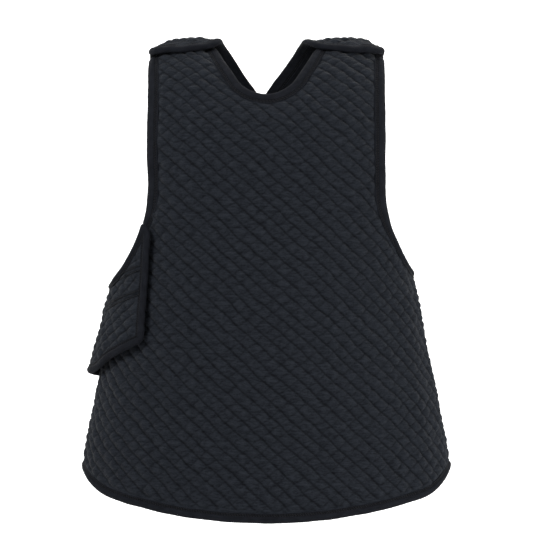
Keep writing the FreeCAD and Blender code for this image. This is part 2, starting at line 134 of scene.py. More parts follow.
class Surface:
    """One panel's worn shape as cloth coordinates: U round the body from the panel's middle, V up.

    Below the chest a row is a rounded section. Above it, on the panel's own side, a column
    runs over the shoulder and down the other side.
    """
    STEP = 2.5  # between the stored points
    LEVELS = (-20, 60, 150, 230, 300, 400)  # the next two lines are given at these heights
    HALF_WIDTH = (227, 220, 203, 187, 173.5, 165)
    HALF_DEPTH = (136, 130, 122, 116, 111, 104)
    RISE = 166  # from the chest to the shoulder's ridge
    NECK_DROP = 3.5  # how much lower the ridge is beside the neck
    SECTION_POINTS = 4001
    COLUMN_POINTS = 601

    def __init__(self, facing, side, depth, rise, slope, u_range, v_range):
        self.facing = facing  # -1: the middle is at the front, +1: at the back
        self.slope = slope  # how soon the shoulder falls away: less is squarer
        self.us = steps(*u_range, self.STEP)
        self.vs = steps(*v_range, self.STEP)
        chest_width = self.HALF_WIDTH[-1] + 2 * side
        chest_depth = self.HALF_DEPTH[-1] + depth
        wide = spline(self.LEVELS, [w + side for w in self.HALF_WIDTH[:-1]] + [chest_width])
        deep = spline(self.LEVELS, [d + depth for d in self.HALF_DEPTH])
        moved = spline(self.LEVELS, [-side] * (len(self.LEVELS) - 1) + [0])
        points = np.zeros((len(self.vs), len(self.us), 3))
        for j, v in enumerate(self.vs):
            z = min(v, CHEST)
            points[j] = self.row(z, wide(z), deep(z), moved(z))
        top = self.vs > CHEST
        at_chest = self.row(CHEST, wide(CHEST), deep(CHEST), 0)
        for i, (x, y, _) in enumerate(at_chest):
            above = self.vs[top] - CHEST
            if abs(y) > 1 and y * facing > 0:
                points[top, i] = self.column(float(x), above, chest_width, chest_depth, self.RISE + rise)
            else:
                points[top, i] = points[top, i] + np.outer(above, (0, 0, 1.0))
        self.points = points
        along, up = np.gradient(points, axis=1), np.gradient(points, axis=0)
        self.normals = normalised(np.cross(along, up)) * -facing

    @staticmethod
    def fullness(z):
        """2 is an ellipse and more is boxier."""
        return 2 + 0.3 * float(smooth(250, 400, np.array(z)))

    def row(self, z, half_width, half_depth, shift):
        """The rounded section at one height."""
        full = self.fullness(z)
        angle = np.linspace(-math.pi, math.pi, self.SECTION_POINTS)
        x, y = np.sin(angle), np.cos(angle)
        scale = (np.abs(x) ** full + np.abs(y) ** full) ** (-1 / full)
        x, y = half_width * x * scale, self.facing * half_depth * y * scale
        run = run_length(x, y)
        run -= run[self.SECTION_POINTS // 2]
        x, y = np.interp(self.us, run, x), np.interp(self.us, run, y)
        return np.stack([shift + x, y, np.full(len(self.us), z)], 1)

    def column(self, x, lengths, half_width, half_depth, rise):
        """The line over the shoulder at one x, at these lengths above the chest."""
        last = math.acos(min(1.0, (abs(x) / half_width) ** (1 / self.slope)))
        place = np.linspace(1, -1, self.COLUMN_POINTS)
        turn = last * (1 - place * place)
        full = self.fullness(CHEST)
        share = np.minimum(1, abs(x) / (half_width * np.maximum(np.cos(turn), TINY) ** self.slope))
        y = half_depth * np.cos(turn) * (1 - share ** full) ** (1 / full)
        y = y * np.sign(place) * self.facing
        z = CHEST + (rise - self.NECK_DROP * (1 - smooth(50, 95, abs(x)))) * np.sin(turn)
        run = run_length(y, z)
        return np.stack([np.full(len(lengths), x), np.interp(lengths, run, y), np.interp(lengths, run, z)], 1)

    def look_up(self, table, u, v):
        """Values of a stored table between its points."""
        across = np.clip((u - self.us[0]) / self.STEP, 0, len(self.us) - 1.001)
        up = np.clip((v - self.vs[0]) / self.STEP, 0, len(self.vs) - 1.001)
        i, j = across.astype(int), up.astype(int)
        s, t = (across - i)[..., None], (up - j)[..., None]
        return ((table[j, i] * (1 - s) + table[j, i + 1] * s) * (1 - t)
                + (table[j + 1, i] * (1 - s) + table[j + 1, i + 1] * s) * t)

    def grid(self, step):
        """Evenly spaced cloth coordinates over the whole surface."""
        return steps(self.us[0], self.us[-1], step), steps(self.vs[0], self.vs[-1], step)

    def normal_at(self, u, v):
        return normalised(self.look_up(self.normals, u, v))

    def at(self, u, v, out=0.0):
        """Points that stand out from the cloth by out."""
        u, v = np.broadcast_arrays(np.asarray(u, float), np.asarray(v, float))
        out = np.broadcast_to(np.asarray(out, float), u.shape)
        return self.look_up(self.points, u, v) + self.normal_at(u, v) * out[..., None]


front = Surface(facing=-1, side=0, depth=0, rise=0, slope=0.215, u_range=(-380, 330), v_range=(0, 660))
back = Surface(facing=1, side=5.5, depth=10, rise=11, slope=0.27, u_range=(-400, 300), v_range=(0, 720))


# -------- outlines, as distances inside them

def in_armhole(p):
    """Distance inside the armhole line, on either side of the body."""
    x, z = np.abs(p[..., 0]), p[..., 2]
    edge_x = 138.5  # at the chest
    across, drop = 57.5, 124.5  # the curve also passes this far out and below
    radius = (across ** 2 + drop ** 2) / (2 * across)
    lean_out, lean_up = 3, 240
    straight = edge_x + lean_out * (z - CHEST) / lean_up - x
    curved = np.hypot(x - (edge_x + radius), z - CHEST) - radius
    return np.where(z > CHEST, straight, curved)


def in_neckline(p):
    """Distance outside the scooped front neckline: a round bottom and flaring sides."""
    centre, radius, flare = 545, 42, math.radians(32)
    x, z = np.abs(p[..., 0]), p[..., 2] - centre
    lower = np.hypot(x, z) - radius
    upper = x * math.cos(flare) - z * math.sin(flare) - radius
    return np.where(z * math.cos(flare) + x * math.sin(flare) > 0, upper, lower)


def in_vee(p):
    """Distance outside the two straight edges of the back neckline, which go on past the ridge."""
    middle, point, past_ridge = -6, 508, 73
    rise, left_run, right_run = 70, 50, 52
    x, y = p[..., 0] - middle, p[..., 1]
    z = p[..., 2] - point + np.where(y < 0, y ** 2 / past_ridge, 0)
    left = (-x * rise - z * left_run) / math.hypot(rise, left_run)
    right = (x * rise - z * right_run) / math.hypot(rise, right_run)
    return np.maximum(left, right)


def in_hem(p):
    """Distance above the long shallow arc of the hem and its rounded corners."""
    x, z = np.abs(p[..., 0]), p[..., 2]
    corner_x, corner_z, corner_radius = 165.0, 97.35, 62
    arc_centre, arc_radius = 755, 740
    long_arc = arc_radius - np.hypot(x, z - arc_centre)
    corner = corner_radius - np.hypot(x - corner_x, z - corner_z)
    in_corner = x - corner_x > (corner_z - z) * 0.249
    return np.where(z > corner_z, FAR, np.where(in_corner, corner, long_arc))


def in_low_edge(x, y, z):
    """Distance above the back's lower left edge, which sweeps up to a tip under the flap."""
    along, above = x + 209, z - 184  # from the tip
    ahead = (above - 0.535 * along + 7 * smooth(-180, -211, x)) / 1.13
    drop = 0.757 * np.maximum(y, 0) - 0.7 * np.clip(y, 0, 45) * (1 - smooth(45, 115, y))
    behind = (above + 0.398 * along + 7 * (1 - smooth(20, 90, y)) + drop) / 1.2
    return np.where(x < 0, np.where(y < 0, ahead, behind), FAR)


def in_flap(x, z):
    """Distance inside the flap's leaning front edge and its slanting upper corner."""
    edge = FLAP_EDGE + 0.056 * (z - 222)
    corner = (FLAP_TOP - z - 1.6 * (x + 140)) / 1.89
    return np.minimum(edge - x, corner)


def tab_end(x):
    """Depth of the tabs' curved free ends."""
    out = (np.abs(x) - TAB_X) / 45
    end = TAB_END + out ** 2 * np.where(out > 0, 17, 8) + 0.04 * np.maximum(0, 62 - np.abs(x)) ** 2
    return np.minimum(end, -12)


def rounded(one, other, radius):
    """The smaller of two distances, with the corner between them rounded off."""
    near = (one < radius) & (other < radius)
    return np.where(near, radius - np.hypot(radius - one, radius - other), np.minimum(one, other))


def front_field(u, v):
    """Distance inside the front panel's outline."""
    p = front.at(u, v)
    x, y = p[..., 0], p[..., 1]
    side = np.where(x > 0, SEAM_Y - y, WRAP_Y - y)
    side = np.where(v < 330, side, np.where((v < 480) & (y > 0), CUT_OFF, FAR))
    shoulder = np.where(v > 480, 32 - y, FAR)
    arm = rounded(in_armhole(p), shoulder, 16)
    neck = rounded(in_neckline(p), shoulder, 16)
    return np.minimum.reduce([arm, neck, in_hem(p), side])


def back_field(u, v):
    """Distance inside the outline of the back panel with its flap and tabs."""
    p = back.at(u, v)
    x, y, z = p[..., 0], p[..., 1], p[..., 2]
    below_chest = v < CHEST
    seam = np.where((x > 0) & below_chest, y - SEAM_Y - 0.6, FAR)
    flap = np.where((y < 0) & below_chest & (x < 0), in_flap(x, z), FAR)
    tab = np.where(v > 500, y - tab_end(x), np.where((v > 396) & (y < 0), CUT_OFF, FAR))
    arm = rounded(in_armhole(p), tab, 9)
    neck = rounded(in_vee(p), tab, 15)
    return np.minimum.reduce([arm, neck, in_hem(p), in_low_edge(x, y, z), seam, flap])


def linked_cuts(inside):
    """The cuts between grid points in and out of the outline, each with the cuts it joins."""
    corner_count = inside[:-1, :-1].astype(int) + inside[:-1, 1:] + inside[1:, :-1] + inside[1:, 1:]
    links = {}
    for j, i in np.argwhere((corner_count > 0) & (corner_count < 4)):
        ring = [(j, i), (j, i + 1), (j + 1, i + 1), (j + 1, i)]
        sides = zip(ring, ring[1:] + ring[:1])
        cuts = [(min(a, b), max(a, b)) for a, b in sides if inside[a] != inside[b]]
        for a, b in zip(cuts[::2], cuts[1::2]):
            links.setdefault(a, []).append(b)
            links.setdefault(b, []).append(a)
    return links


def longest_loop(links):
    loops = []
    while links:
        here = next(iter(links))
        loop = [here]
        while links.get(here):
            onward = links.pop(here)
            ahead = [cut for cut in onward if cut in links]
            if not ahead:
                break
            here = ahead[0]
            loop.append(here)
        links.pop(here, None)
        loops.append(loop)
    return max(loops, key=len)


def contour(field, surface, step=2.5):
    """The longest closed line of cloth coordinates where the field is zero."""
    us, vs = surface.grid(step)
    value = field(*np.meshgrid(us, vs))
    value[0], value[-1], value[:, 0], value[:, -1] = -1, -1, -1, -1
    value = np.where(value == 0, NOT_ZERO, value)
    path = []
    for a, b in longest_loop(linked_cuts(value > 0)):
        t = value[a] / (value[a] - value[b])
        path.append((us[a[1]] + t * (us[b[1]] - us[a[1]]), vs[a[0]] + t * (vs[b[0]] - vs[a[0]])))
    return np.array(path)


def even(path, step, soften=0, closed=True):
    """The path with even steps. Rounds of softening take the corners off a closed one."""
    path = np.asarray(path, float)
    if closed:
        path = np.vstack([path, path[:1]])
    for rounds in (soften, 0):
        run = run_length(*path.T)
        at = np.linspace(0, run[-1], max(4, int(round(run[-1] / step)) + 1))
        path = part_way(at, run, path)
        for _ in range(rounds):
            ring = path[:-1]
            ring = (np.roll(ring, 1, 0) + 2 * ring + np.roll(ring, -1, 0)) / 4
            path = np.vstack([ring, ring[:1]])
    return path[:-1] if closed else path


def cloth_on_left(path):
    """The closed path, turned so that the cloth lies on its left."""
    x, y = path.T
    area = np.sum(x * np.roll(y, -1) - np.roll(x, -1) * y)
    return path if area > 0 else path[::-1]


def opened(path, dropped):
    """The closed path cut open where it is dropped, as one open path."""
    start = np.flatnonzero(dropped & ~np.roll(dropped, -1))[0] + 1
    turned, gone = np.roll(path, -start, 0), np.roll(dropped, -start)
    return turned[~gone]


# -------- meshes

def new_object(name, data):
    made = bpy.data.objects.new(name, data)
    bpy.context.scene.collection.objects.link(made)
    return made


def new_mesh(name, points, faces, body, material, cloth=None, rows=None):
    """A mesh piece in the row frame that rides on a body; a piece given a pair of bodies is left in place on
    neither.
    """
    mesh = bpy.data.meshes.new(name)
    faces = np.asarray(faces, np.int32)
    points = (np.asarray(points).reshape(-1, 3) - np.array([0, 0, REST])) / MM
    mesh.vertices.add(len(points))
    mesh.vertices.foreach_set("co", points.astype(np.float32).ravel())
    mesh.loops.add(faces.size)
    mesh.loops.foreach_set("vertex_index", faces.ravel())
    mesh.polygons.add(len(faces))
    mesh.polygons.foreach_set("loop_start", np.arange(len(faces), dtype=np.int32) * faces.shape[1])
    mesh.update(calc_edges=True)
    mesh.polygons.foreach_set("use_smooth", np.ones(len(faces), bool))
    for title, values in (("cloth", cloth), ("stitch_rows", rows)):
        if values is not None:
            layer = mesh.attributes.new(title, "FLOAT_VECTOR", "POINT")
            layer.data.foreach_set("vector", np.asarray(values, np.float32).ravel())
    mesh.materials.append(material)
    piece = new_object(name, mesh)
    if isinstance(body, str):
        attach(piece, body)
    else:
        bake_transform(piece)
    return piece


def metres(x, y, z):
    return (x / MM, y / MM, (z - REST) / MM)


def folding(body, x, fold, z):
    """The vest and a folding body, with the two places that the cloth bends between."""
    return ("vest", body, metres(x, fold[0], z), metres(x, fold[1], z))


BODIES = {
    "vest": "vest",
    "flap": folding("side_flap", -181, FLAP_FOLD, 300),
    "left_tab": folding("left_shoulder_tab", -90, TAB_FOLD, 577),
    "right_tab": folding("right_shoulder_tab", 90, TAB_FOLD, 577),
}


def grid_quads(shape):
    """The four corners of each cell of a grid of points."""
    number = np.arange(shape[0] * shape[1]).reshape(shape)
    return np.stack([number[:-1, :-1], number[:-1, 1:], number[1:, 1:], number[1:, :-1]], -1)


def tube(rings):
    """Faces that join neighbouring rings of points. The tube's ends stay open."""
    count, size = rings.shape[:2]
    i, j = np.meshgrid(np.arange(count - 1), np.arange(size), indexing="ij")
    here, onward, after = i * size, (i + 1) * size, (j + 1) % size
    return np.stack([here + j, here + after, onward + after, onward + j], -1).reshape(-1, 4)


def from_segment(u, v, start, end):
    """Distance from a straight row of stitching."""
    (u0, v0), (u1, v1) = start, end
    length = math.hypot(u1 - u0, v1 - v0)
    along = ((u - u0) * (u1 - u0) + (v - v0) * (v1 - v0)) / length
    off = ((u - u0) * (v1 - v0) - (v - v0) * (u1 - u0)) / length
    return np.hypot(off, np.maximum(0, np.maximum(-along, along - length)))


class Panel:
    """One cloth panel: its worn surface, its bound outline and its quilting."""
    LOOP_STEP = 2.0
    CUT_BACK = 2.5  # the cloth stops this far inside the outline, under the binding

    def __init__(self, surface, field, unbound, seed, crossing, kicks=(), presses=()):
        self.surface, self.field, self.seed = surface, field, seed
        self.crossing = crossing  # how deep the second family of rows is
        self.kicks, self.presses = kicks, presses
        loop = cloth_on_left(even(contour(field, surface), self.LOOP_STEP, soften=2))
        edge = opened(loop, unbound(surface.at(loop[:, 0], loop[:, 1]), loop))
        # the binding goes on a little past both ends of the bound edge
        self.edge = np.vstack([2.8 * edge[0] - 1.8 * edge[1], edge, 2.8 * edge[-1] - 1.8 * edge[-2]])
        self.tree = KDTree(len(loop))
        for i, (u, v) in enumerate(loop):
            self.tree.insert((u, v, 0), i)
        self.tree.balance()

    def edge_distance(self, u, v):
        flat = np.array([self.tree.find((a, b, 0))[2] for a, b in zip(u.ravel(), v.ravel())])
        return flat.reshape(u.shape) * np.where(self.field(u, v) > 0, 1, -1)

    def tape_width(self, u, v):
        """How much wider than at the hem the tape is: round the neckline, and most at the armholes."""
        x = np.abs(self.surface.at(u, v)[..., 0])
        return 1 + smooth(330, 380, v) * (0.3 + 0.4 * smooth(108, 130, x) * (1 - smooth(560, 590, v)))

    def wander(self, u, v):
        """Slow unevenness of the worn cloth, and any place where it is kicked out or pressed in."""
        total = 0.7 * ripple(u, v, 130, self.seed) + 0.35 * ripple(u, v, 55, self.seed + 1)
        for at_u, at_v, wide, tall, out in self.kicks:
            total = total + out * np.exp(-((u - at_u) / wide) ** 2 - ((v - at_v) / tall) ** 2)
        return total

    def rows_of_stitching(self, u, v):
        """Two crossing families of lines: each is stitched where its value is whole."""
        x = self.surface.at(u, v)[..., 0]
        across = u + 0.55 * smooth(290, 410, v) * (x - u)
        one = (across / 19.35 + v / 17.2 + 0.07 * ripple(u, v, 90, self.seed + 2)
               + 0.045 * ripple(u, v, 24, self.seed + 9))
        two = (across / 21.1 - v / 16.25 + 0.06 * ripple(u, v, 80, self.seed + 3)
               + 0.05 * ripple(u, v, 22, self.seed + 10))
        return one, two

    def beside_rows(self, u, v, reach):
        """1 on the rows of stitching that hold a hook tape, fading to 0 over about this reach."""
        total = np.zeros(u.shape)
        for start, end in self.presses:
            total = np.maximum(total, np.exp(-(from_segment(u, v, start, end) / reach) ** 2))
        return total

    def outer(self, u, v, inset):
        """How far the quilted face stands out: pillows between two crossing rows of stitching."""
        one, two = self.rows_of_stitching(u, v)
        from_one = np.abs(np.sin(math.pi * one)) ** 0.6
        from_two = np.abs(np.sin(math.pi * two)) ** 0.62
        flat = self.beside_rows(u, v, 4.5)
        puff = from_one * (1 - self.crossing + self.crossing * from_two) * (1 - flat) + 0.85 * flat
        depth = 1 + 0.18 * ripple(u, v, 40, self.seed + 4)
        crease = (0.31 * ripple(u * 0.45, v, 8.5, self.seed + 5, 11)
                  + 0.07 * ripple(u * 0.4, v, 5.2, self.seed + 6, 9))
        inset = inset / self.tape_width(u, v)
        pucker = 0.35 * (1 - smooth(10, 20, inset)) * ripple(u, v, 12, self.seed + 7)
        face = (-1.35 + smooth(9, 16, inset) * ((2.9 * puff) * depth - 0.5 + crease)
                + pucker * smooth(5, 10, inset))
        return face - (1.7 + 0.9 * puff) * self.beside_rows(u, v, 1.8) * smooth(6, 12, inset)

    def inner(self, u, v, inset):
        """How far the lining stands out, which is less than nothing."""
        one, two = self.rows_of_stitching(u, v)
        puff = np.sqrt(np.abs(np.sin(math.pi * one) * np.sin(math.pi * two)))
        return -5.1 - smooth(8, 20, inset) * (0.5 + 0.8 * puff) + 0.1 * ripple(u, v, 12, self.seed + 8)

    def cloth(self, pieces, inside, step):
        """Grid pieces of the quilted face, or of the lining, cut along the outline."""
        u, v = np.meshgrid(*self.surface.grid(step))
        inset = self.edge_distance(u, v)
        height = self.inner(u, v, inset) if inside else self.outer(u, v, inset)
        points = self.surface.at(u, v, height + self.wander(u, v))
        one, two = self.rows_of_stitching(u, v)
        # shown switches the painted groove shade off beside the binding and beside the pressed rows
        shown = inset + (8 - inset) * self.beside_rows(u, v, 4.5)
        # the third cloth value marks the pressed rows that hold the hook tape, for their painted shade
        cloth = np.stack([u, v, self.beside_rows(u, v, 1.6)], -1).reshape(-1, 3)
        rows = np.stack([one, two, shown], -1).reshape(-1, 3)
        corners = grid_quads(u.shape)
        if (self.surface.facing > 0) != inside:
            corners = corners[..., ::-1]
        kept = inset > self.CUT_BACK
        whole = kept[:-1, :-1] & kept[:-1, 1:] & kept[1:, :-1] & kept[1:, 1:]
        middle = u[:-1, :-1] + step / 2, v[:-1, :-1] + step / 2, points[:-1, :-1, 0]
        made = {}
        for name, (where, body, slot, material) in pieces.items():
            used, faces = np.unique(corners[whole & where(*middle)], return_inverse=True)
            faces = faces.reshape(-1, 4)
            piece = new_mesh(name, points.reshape(-1, 3)[used], faces, body, material,
                             cloth[used], rows[used])
            spread = cloth[used, :2].max(0) - cloth[used, :2].min(0)
            piece["cut_area"] = len(faces) * (step / MM) ** 2
            piece["cut_size"] = [float(spread[0]) / MM, float(spread[1]) / MM]
            made[name] = piece
        return made

    def inward_steps(self, path):
        """The cloth coordinates' change for a millimetre towards the inside, at each point of a path."""
        u, v = path.T
        tangent = np.gradient(path, axis=0)
        small = 0.5
        at = self.surface.at
        by_u = (at(u + small, v) - at(u - small, v)) / (2 * small)
        by_v = (at(u, v + small) - at(u, v - small)) / (2 * small)
        along = normalised(by_u * tangent[:, :1] + by_v * tangent[:, 1:])
        inward = np.cross(self.surface.normal_at(u, v), along) * -self.surface.facing
        uu, uv, vv = (by_u * by_u).sum(1), (by_u * by_v).sum(1), (by_v * by_v).sum(1)
        in_u, in_v = (by_u * inward).sum(1), (by_v * inward).sum(1)
        whole = uu * vv - uv * uv
        return np.stack([(vv * in_u - uv * in_v) / whole, (uu * in_v - uv * in_u) / whole], 1)

    def sweep(self, path, profile):
        """Rings of points along a path. The profile is pairs of inward distance and height."""
        inward = self.inward_steps(path)
        for _ in range(3):
            inward[1:-1] = (inward[:-2] + 2 * inward[1:-1] + inward[2:]) / 4
        wider = self.tape_width(path[:, 0], path[:, 1])
        lift = self.wander(path[:, 0], path[:, 1])
        rings = []
        for distance, height in profile:
            reach = distance * np.where(distance > 2, wider, 1)
            u, v = path[:, 0] + inward[:, 0] * reach, path[:, 1] + inward[:, 1] * reach
            rings.append(self.surface.at(u, v, height + lift))
        return np.stack(rings, 1)


# the folded tape's section: inward distance and height, from the outer rim round the edge to the inner rim
TAPE_PROFILE = [
    (10.0, -1.7), (9.9, -0.95), (9.4, -0.40), (8.9, -0.45), (8.45, -0.90), (8.0, -0.45), (7.7, -0.32),
    (7.4, -0.45), (6.95, -0.88), (6.4, -0.15), (5.4, 0.55), (3.6, 0.90), (1.8, 0.55), (0.2, -0.5),
    (-0.8, -1.8), (-1.15, -3.1), (-0.8, -4.3), (0.2, -5.4), (1.8, -6.0), (3.6, -6.3), (5.5, -6.25),
    (7.6, -5.95), (9.3, -6.1), (10.0, -5.4), (9.2, -4.0), (9.2, -2.4)]
TAPE_EDGE = 15  # the fold's place in the section
PUCKER_PITCH = 6.0


def binding(panel, name, path, body):
    """A tape folded round the panel's edge, its rims rolled and a little uneven."""
    run = run_length(*path.T)
    zero = np.zeros(len(run))
    seed = panel.seed + 20
    rings = panel.sweep(path, TAPE_PROFILE)
    wave = 0.28 * ripple(run, zero, 46, seed) + 0.16 * ripple(run, zero, 11, seed + 1)
    across = normalised(rings[:, 0] - rings[:, TAPE_EDGE])
    weight = np.array([abs(w - 4) / 6 for w, _ in TAPE_PROFILE])
    rings = rings + across[:, None] * (wave[:, None] * weight)[..., None]
    lift = 0.22 * ripple(run, zero, 34, seed + 2) + 0.10 * ripple(run, zero, 7, seed + 3)
    pucker = 0.12 * np.sin(run * 2 * math.pi / PUCKER_PITCH)
    outside = np.array([max(0.0, (h + 3) / 3) for _, h in TAPE_PROFILE])
    needle_lines = np.array([1.0 if 6 < w < 9.5 and h > -3 else 0.0 for w, h in TAPE_PROFILE])
    normal = panel.surface.normal_at(path[:, 0], path[:, 1])
    rings = rings + normal[:, None] * (lift[:, None] * outside + pucker[:, None] * needle_lines)[..., None]
    girth = np.cumsum([0] + [math.dist(a, b) for a, b in zip(TAPE_PROFILE[1:], TAPE_PROFILE)])
    inward = np.array([[w for w, _ in TAPE_PROFILE]])
    cloth = np.stack(np.broadcast_arrays(run[:, None], girth[None], inward), -1)
    faces = tube(rings)
    if panel.surface.facing < 0:
        faces = faces[:, ::-1]
    return new_mesh(name, rings, faces, body, TAPE_CLOTH, cloth)


STITCH_PITCH = 3.0
STITCH_GAP = 0.55
STITCH_SAG = -0.34  # the ends of a stitch go into the cloth
STITCH_SHARES = (0.0, 0.18, 0.5, 0.82, 1.0)  # the rings' places along a stitch
STITCH_RADII = np.array([0.10, 0.27, 0.30, 0.27, 0.10])
STITCH_SIDES = 6


def stitch_row(panel, path, inward, first, distance, height, out):
    """The rings of points of one row of stitches. The row is at this inward distance from the path."""
    run = run_length(*path.T)
    start = np.arange(first, run[-1] - 3, STITCH_PITCH)
    line = []
    for share in STITCH_SHARES:
        at = start + share * (STITCH_PITCH - STITCH_GAP)
        on_path, towards = part_way(at, run, path), part_way(at, run, inward)
        sag = STITCH_SAG if share in (0.0, 1.0) else 0.0
        lift = panel.wander(on_path[:, 0], on_path[:, 1])
        u, v = on_path[:, 0] + towards[:, 0] * distance, on_path[:, 1] + towards[:, 1] * distance
        line.append(panel.surface.at(u, v, height + sag * out + lift))
    line = np.stack(line, 1)
    ahead = normalised(line[:, -1] - line[:, 0])
    up = panel.surface.normal_at(on_path[:, 0], on_path[:, 1])
    side = normalised(np.cross(ahead, up))
    ring = np.linspace(0, 2 * math.pi, STITCH_SIDES, endpoint=False)
    circle = (np.cos(ring)[None, None, :, None] * side[:, None, None]
              + np.sin(ring)[None, None, :, None] * up[:, None, None]) * STITCH_RADII[None, :, None, None]
    return line[:, :, None] + circle


def thread(panel, name, path, body, rows):
    """Rows of separate stitches that follow a path, each a small raised tube with thin ends."""
    inward = panel.inward_steps(path) * panel.tape_width(path[:, 0], path[:, 1])[:, None]
    points = np.vstack([stitch_row(panel, path, inward, 2 + number * 0.7, *row)
                        for number, row in enumerate(rows)])
    count, ring_count = len(points), len(STITCH_SHARES)
    stitch, ring, side = np.meshgrid(np.arange(count), np.arange(ring_count - 1), np.arange(STITCH_SIDES),
                                     indexing="ij")
    here = (stitch * ring_count + ring) * STITCH_SIDES
    onward, after = here + STITCH_SIDES, (side + 1) % STITCH_SIDES
    faces = np.stack([here + side, here + after, onward + after, onward + side], -1).reshape(-1, 4)
    new_mesh(name, points, faces, body, THREAD)


def round_corners(u, v, corner):
    """A rectangular grid with its corners rounded, and how far each point is inside the rim."""
    sides = []
    for value in (u, v):
        middle, half = (value.min() + value.max()) / 2, (value.max() - value.min()) / 2
        off = value - middle
        sides.append((middle, half, off, np.maximum(np.abs(off) - half + corner, 0)))
    over = np.hypot(sides[0][3], sides[1][3])
    pull = np.where(over > corner, corner / np.maximum(over, NOT_ZERO), 1)
    u, v = (middle + np.sign(off) * (np.minimum(np.abs(off), half - corner) + past * pull)
            for middle, half, off, past in sides)
    in_u, in_v = (half - np.abs(value - middle) for value, (middle, half, _, _) in zip((u, v), sides))
    return u, v, np.minimum(in_u, in_v)


def patch(panel, name, u_range, v_range, low, high, body, material):
    """A small rectangle of hook or loop tape sewn on the cloth, with rounded corners and soft rims."""
    u, v = np.meshgrid(steps(*u_range, 1.0), steps(*v_range, 1.0))
    u, v, inset = round_corners(u, v, 3.0)
    top = low + (high - low) * smooth(-0.2, 1.2, inset) + 0.12 * ripple(u, v, 3.0, 77, 9)
    lift = panel.wander(u, v)
    face = panel.surface.at(u, v, top + lift).reshape(-1, 3)
    foot = panel.surface.at(u, v, np.full(u.shape, low) + lift).reshape(-1, 3)
    number = np.arange(u.size).reshape(u.shape)
    quads = grid_quads(u.shape).reshape(-1, 4)
    rim = np.concatenate([number[0, :], number[1:, -1], number[-1, -2::-1], number[-2:0:-1, 0]])
    after = np.roll(rim, -1)
    wall = np.stack([rim, after, after + u.size, rim + u.size], -1)
    faces = np.vstack([quads, quads[:, ::-1] + u.size, wall[:, ::-1]])
    if (panel.surface.facing > 0) != (high < low):
        faces = faces[:, ::-1]
    cloth = np.stack([u, v, inset], -1).reshape(-1, 3)
    return new_mesh(name, np.vstack([face, foot]), faces, body, material, np.vstack([cloth, cloth]))


# -------- materials

class Shading:
    """The nodes of one material, with the mesh's cloth coordinates at hand."""

    def __init__(self, tree, shader):
        self.nodes, self.links, self.shader = tree.nodes, tree.links, shader
        self.place, (self.u, self.v, self.third) = self.attribute("cloth")

    def attribute(self, name):
        """A mesh attribute as a vector and as its three numbers."""
        source = self.nodes.new("ShaderNodeAttribute")
        source.attribute_name = name
        split = self.nodes.new("ShaderNodeSeparateXYZ")
        self.links.new(source.outputs["Vector"], split.inputs[0])
        return source.outputs["Vector"], list(split.outputs)

    def calc(self, operation, *values):
        node = self.nodes.new("ShaderNodeMath")
        node.operation = operation
        for socket, value in zip(node.inputs, values):
            if isinstance(value, (int, float)):
                socket.default_value = value
            else:
                self.links.new(value, socket)
        return node.outputs[0]

    def noise(self, scale, detail=3.0):
        """Noise over the cloth coordinates. A scale of 0 keeps it the same along that coordinate."""
        mapping = self.nodes.new("ShaderNodeMapping")
        mapping.inputs["Scale"].default_value = scale
        self.links.new(self.place, mapping.inputs["Vector"])
        noise = self.nodes.new("ShaderNodeTexNoise")
        noise.inputs["Scale"].default_value = 1.0
        noise.inputs["Detail"].default_value = detail
        self.links.new(mapping.outputs[0], noise.inputs["Vector"])
        return noise.outputs["Fac"]

    def colour(self, factor, dark, light, span=(0.36, 0.66), shade=None):
        """The base colour: dark to light over this span of the factor, multiplied by any painted shade."""
        ramp = self.nodes.new("ShaderNodeValToRGB")
        ends = ramp.color_ramp.elements
        ends[0].position, ends[1].position = span
        ends[0].color, ends[1].color = (*dark, 1), (*light, 1)
        self.links.new(factor, ramp.inputs[0])
        colour = ramp.outputs[0]
        if shade:
            dim = self.nodes.new("ShaderNodeMixRGB")
            dim.blend_type = "MULTIPLY"
            dim.inputs[0].default_value = 1.0
            self.links.new(colour, dim.inputs[1])
            self.links.new(shade, dim.inputs[2])
            colour = dim.outputs[0]
        self.links.new(colour, self.shader.inputs["Base Color"])

    def bump(self, height, distance, strength=1.0):
        node = self.nodes.new("ShaderNodeBump")
        node.inputs["Distance"].default_value = distance
        node.inputs["Strength"].default_value = strength
        self.links.new(height, node.inputs["Height"])
        self.links.new(node.outputs[0], self.shader.inputs["Normal"])


def new_material(name, colour, rough, build=None, **more):
    made = bpy.data.materials.new(name)
    made.use_nodes = True
    shader = made.node_tree.nodes["Principled BSDF"]
    shader.inputs["Base Color"].default_value = (*colour, 1)
    shader.inputs["Roughness"].default_value = rough
    for key, value in more.items():
        shader.inputs[key.replace("_", " ")].default_value = value
    if build:
        build(Shading(made.node_tree, shader))
    return made


def pillows(cloth):
    """Painted shade of the stitched grooves, also used as bump height: 0 on the first family of rows, a half
    on the second, and 1 between them and by the binding.
    """
    _, (one, two, shown) = cloth.attribute("stitch_rows")
    one = cloth.calc("PINGPONG", one, 0.5)
    two = cloth.calc("PINGPONG", two, 0.5)
    from_one = cloth.calc("SMOOTH_MIN", cloth.calc("MULTIPLY", one, 6.5), 1.0, 0.3)
    from_two = cloth.calc("SMOOTH_MIN", cloth.calc("MULTIPLY", two, 7.5), 1.0, 0.3)
    softer = cloth.calc("MULTIPLY_ADD", from_two, 0.5, 0.5)
    pillow = cloth.calc("MULTIPLY", from_one, softer)
    bound = cloth.nodes.new("ShaderNodeMapRange")
    for end, value in (("From Min", 11.0), ("From Max", 15.0), ("To Min", 1.0), ("To Max", 0.0)):
        bound.inputs[end].default_value = value
    cloth.links.new(shown, bound.inputs["Value"])
    return cloth.calc("MAXIMUM", pillow, bound.outputs[0])


